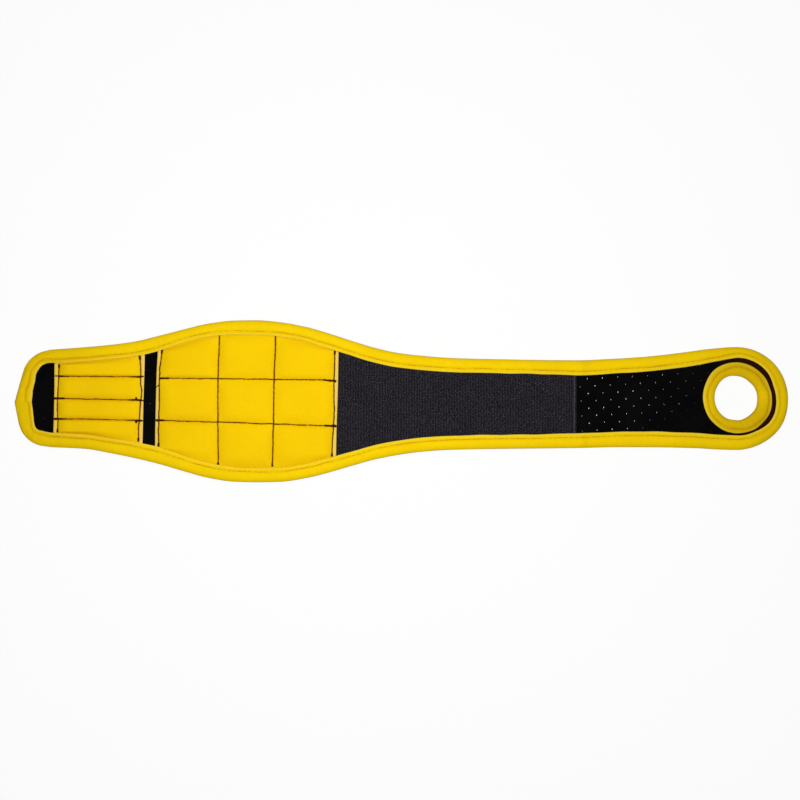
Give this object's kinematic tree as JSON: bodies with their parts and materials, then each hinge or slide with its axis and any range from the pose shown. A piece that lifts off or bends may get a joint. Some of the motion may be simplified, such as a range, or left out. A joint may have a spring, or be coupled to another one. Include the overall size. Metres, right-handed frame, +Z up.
{
  "type": "magnetic wristband",
  "caption": "Long flexible wristband with quilted magnet pockets, a loop strip and hook patch that close it, and a taped thumb hole at one end.",
  "frame": {"origin": "centre of the bounding box at its bottom, where the back of the flat band rests", "axes": "+X along the band towards the thumb hole, +Y across the band, +Z up out of its front"},
  "size_m": [0.4, 0.0838, 0.007],
  "materials": {
    "base_sheet": "black perforated foam sheet faced with fine knit",
    "edge_tape": "soft yellow knit binding tape, matte",
    "pocket_cloth": "smooth yellow woven cloth, matte",
    "loop_strip": "black loop pile with fine ribs across the band",
    "yellow_thread": "yellow sewing thread",
    "dark_thread": "dark brown sewing thread",
    "pale_thread": "grey sewing thread",
    "magnet": "nickel plated",
    "hook_patch": "black nylon hooks on a woven backing"
  },
  "bodies": {
    "hook_end": {"base_hook_end": "base_sheet", "edge_tape_hook_end": "edge_tape", "channel_panel": "pocket_cloth", "channel_panel_thread": "dark_thread", "bar_magnet_1": "magnet", "bar_magnet_2": "magnet", "bar_magnet_3": "magnet", "bar_magnet_4": "magnet", "hook_patch": "hook_patch"},
    "column_1": {"base_column_1": "base_sheet", "edge_tape_column_1_upper": "edge_tape", "edge_tape_column_1_lower": "edge_tape", "pocket_cover_1": "pocket_cloth", "pocket_thread_1": "dark_thread", "plate_magnet_1_1": "magnet", "plate_magnet_1_2": "magnet", "plate_magnet_1_3": "magnet"},
    "column_2": {"base_column_2": "base_sheet", "edge_tape_column_2_upper": "edge_tape", "edge_tape_column_2_lower": "edge_tape", "pocket_cover_2": "pocket_cloth", "pocket_thread_2": "dark_thread", "plate_magnet_2_1": "magnet", "plate_magnet_2_2": "magnet", "plate_magnet_2_3": "magnet"},
    "column_3": {"base_column_3": "base_sheet", "edge_tape_column_3_upper": "edge_tape", "edge_tape_column_3_lower": "edge_tape", "pocket_cover_3": "pocket_cloth", "pocket_thread_3": "dark_thread", "plate_magnet_3_1": "magnet", "plate_magnet_3_2": "magnet", "plate_magnet_3_3": "magnet"},
    "strap_1": {"base_strap_1": "base_sheet", "edge_tape_strap_1_upper": "edge_tape", "edge_tape_strap_1_lower": "edge_tape", "loop_strip_strap_1": "loop_strip"},
    "strap_2": {"base_strap_2": "base_sheet", "edge_tape_strap_2_upper": "edge_tape", "edge_tape_strap_2_lower": "edge_tape", "loop_strip_strap_2": "loop_strip"},
    "strap_3": {"base_strap_3": "base_sheet", "edge_tape_strap_3_upper": "edge_tape", "edge_tape_strap_3_lower": "edge_tape", "loop_strip_strap_3": "loop_strip", "loop_strip_end_thread": "pale_thread"},
    "sheet_1": {"base_sheet_1": "base_sheet", "edge_tape_sheet_1_upper": "edge_tape", "edge_tape_sheet_1_lower": "edge_tape"},
    "sheet_2": {"base_sheet_2": "base_sheet", "edge_tape_sheet_2_upper": "edge_tape", "edge_tape_sheet_2_lower": "edge_tape"},
    "thumb_end": {"base_thumb_end": "base_sheet", "edge_tape_thumb_end": "edge_tape", "thumb_hole_tape": "edge_tape", "thumb_hole_thread": "yellow_thread"}
  },
  "joints": [
    {"name": "column_fold_1", "type": "hinge", "parent": "column_2", "child": "column_1", "pos_m": [-0.0941, 0, 0.0023], "axis": [0, -1, 0], "range_deg": [-25, 35]},
    {"name": "hook_end_fold", "type": "hinge", "parent": "column_1", "child": "hook_end", "pos_m": [-0.1295, 0, 0.0023], "axis": [0, -1, 0], "range_deg": [-25, 30]},
    {"name": "column_fold_2", "type": "hinge", "parent": "column_2", "child": "column_3", "pos_m": [-0.0656, 0, 0.0023], "axis": [0, 1, 0], "range_deg": [-25, 35]},
    {"name": "pocket_strap_fold", "type": "hinge", "parent": "column_3", "child": "strap_1", "pos_m": [-0.031, 0, 0.0023], "axis": [0, 1, 0], "range_deg": [-25, 35]},
    {"name": "strap_fold_1", "type": "hinge", "parent": "strap_1", "child": "strap_2", "pos_m": [0.00947, 0, 0.0023], "axis": [0, 1, 0], "range_deg": [-40, 45]},
    {"name": "strap_fold_2", "type": "hinge", "parent": "strap_2", "child": "strap_3", "pos_m": [0.04993, 0, 0.0023], "axis": [0, 1, 0], "range_deg": [-40, 45]},
    {"name": "strip_end_fold", "type": "hinge", "parent": "strap_3", "child": "sheet_1", "pos_m": [0.0904, 0, 0.0023], "axis": [0, 1, 0], "range_deg": [-50, 55]},
    {"name": "sheet_fold", "type": "hinge", "parent": "sheet_1", "child": "sheet_2", "pos_m": [0.1177, 0, 0.0023], "axis": [0, 1, 0], "range_deg": [-50, 55]},
    {"name": "thumb_end_fold", "type": "hinge", "parent": "sheet_2", "child": "thumb_end", "pos_m": [0.145, 0, 0.0023], "axis": [0, 1, 0], "range_deg": [-50, 55]}
  ]
}
